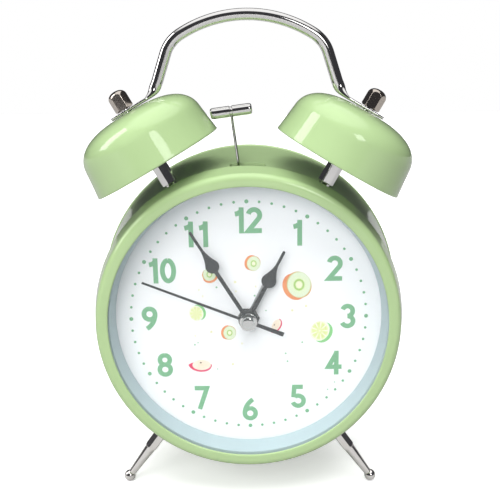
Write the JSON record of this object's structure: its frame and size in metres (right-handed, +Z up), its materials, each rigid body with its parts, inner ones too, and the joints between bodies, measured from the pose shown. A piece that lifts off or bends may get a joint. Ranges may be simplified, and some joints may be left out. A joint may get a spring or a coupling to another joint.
{
  "type": "twin bell alarm clock",
  "caption": "Battery alarm clock with a round drum case, two bells on posts, a swinging hammer, a carrying handle and turned legs.",
  "frame": {"origin": "on the table, under the middle of the clock's width and depth", "axes": "+Z up, the dial faces -Y, +X to the right of the dial as it is read"},
  "size_m": [0.111, 0.061, 0.1651],
  "materials": {
    "green_paint": "glossy pale green enamel",
    "chrome": "polished",
    "nickel": "satin nickel plate",
    "steel": "plain steel",
    "brass": "machined",
    "copper": "enamelled winding wire",
    "clear_glass": "clear float glass",
    "ring_plastic": "pale blue moulded plastic",
    "dial_print": "white printed card",
    "dial_metal": "sheet",
    "hand_black": "black lacquer",
    "hand_silver": "bright",
    "cover_plastic": "fine moulded texture",
    "black_plastic": "fine moulded texture",
    "movement_plastic": "plain",
    "gear_plastic": "natural acetal",
    "board": "solder resist",
    "cell_wrap": "printed sleeve, plain colour",
    "rubber": "matt"
  },
  "bodies": {
    "case": {"case_drum": "green_paint", "bezel_ring": "green_paint", "bell_left": "green_paint", "bell_right": "green_paint", "bell_post_left": "chrome", "bell_post_right": "chrome", "handle": "chrome", "dial_nut": "chrome", "cap_nut_left": "nickel", "cap_nut_right": "nickel", "leg_left": "nickel", "leg_right": "nickel", "cover_screw_1": "nickel", "cover_screw_2": "nickel", "cover_screw_3": "nickel", "foot_screw": "nickel", "battery_contact": "nickel", "post_nut_left": "steel", "post_nut_right": "steel", "leg_nut_left": "steel", "leg_nut_right": "steel", "hammer_bracket": "steel", "hammer_pivot": "steel", "striker_core": "steel", "battery_spring": "steel", "striker_coil": "copper", "stepper_coil": "copper", "glass_lens": "clear_glass", "dial_ring": "ring_plastic", "dial_card": "dial_print", "dial_plate": "dial_metal", "back_cover": "cover_plastic", "rear_foot": "cover_plastic", "movement_front": "movement_plastic", "movement_rear": "movement_plastic", "switch_body": "movement_plastic", "circuit_board": "board", "battery_cell": "cell_wrap", "foot_pad": "rubber"},
    "second": {"second_hand": "hand_black", "hand_cap": "chrome", "second_wheel": "gear_plastic"},
    "minute": {"minute_hand": "hand_black", "minute_pinion": "steel"},
    "hour": {"hour_hand": "hand_black", "hour_wheel": "gear_plastic"},
    "alarm_pointer": {"alarm_hand": "hand_silver", "alarm_wheel": "brass"},
    "time_setting": {"time_set_knob": "black_plastic", "time_set_arbor": "gear_plastic"},
    "alarm_setting": {"alarm_set_knob": "black_plastic", "alarm_set_arbor": "gear_plastic"},
    "switch": {"alarm_switch": "black_plastic"},
    "door": {"battery_door": "cover_plastic"},
    "hammer": {"hammer_lever": "steel", "hammer_rod": "chrome", "hammer_head": "chrome"}
  },
  "joints": [
    {"name": "time_set_turn", "type": "hinge", "parent": "case", "child": "time_setting", "pos_m": [-0.0144, 0, 0.06386], "axis": [0, 1, 0], "continuous": true},
    {"name": "minute_hand_turn", "type": "hinge", "parent": "case", "child": "minute", "pos_m": [0, 0, 0.06386], "axis": [0, 1, 0], "continuous": true},
    {"name": "hour_hand_turn", "type": "hinge", "parent": "case", "child": "hour", "pos_m": [0, 0, 0.06386], "axis": [0, 1, 0], "continuous": true},
    {"name": "alarm_set_turn", "type": "hinge", "parent": "case", "child": "alarm_setting", "pos_m": [0.0144, 0, 0.06386], "axis": [0, 1, 0], "continuous": true},
    {"name": "alarm_hand_turn", "type": "hinge", "parent": "case", "child": "alarm_pointer", "pos_m": [0, 0, 0.06386], "axis": [0, 1, 0], "continuous": true},
    {"name": "second_hand_turn", "type": "hinge", "parent": "case", "child": "second", "pos_m": [0, 0, 0.06386], "axis": [0, 1, 0], "continuous": true},
    {"name": "hammer_swing", "type": "hinge", "parent": "case", "child": "hammer", "pos_m": [0, -0.0075, 0.09286], "axis": [0, 1, 0], "range_deg": [0, 15.2]},
    {"name": "alarm_switch_slide", "type": "slide", "parent": "case", "child": "switch", "axis": [1, 0, 0], "range_m": [0, 0.007]},
    {"name": "battery_door_pull", "type": "slide", "parent": "case", "child": "door", "axis": [0, 1, 0], "range_m": [0, 0.02]}
  ],
  "couplings": [
    {"joint": "minute_hand_turn", "follows": "time_set_turn", "ratio": -3},
    {"joint": "hour_hand_turn", "follows": "time_set_turn", "ratio": -0.25},
    {"joint": "alarm_hand_turn", "follows": "alarm_set_turn", "ratio": -0.33333}
  ]
}
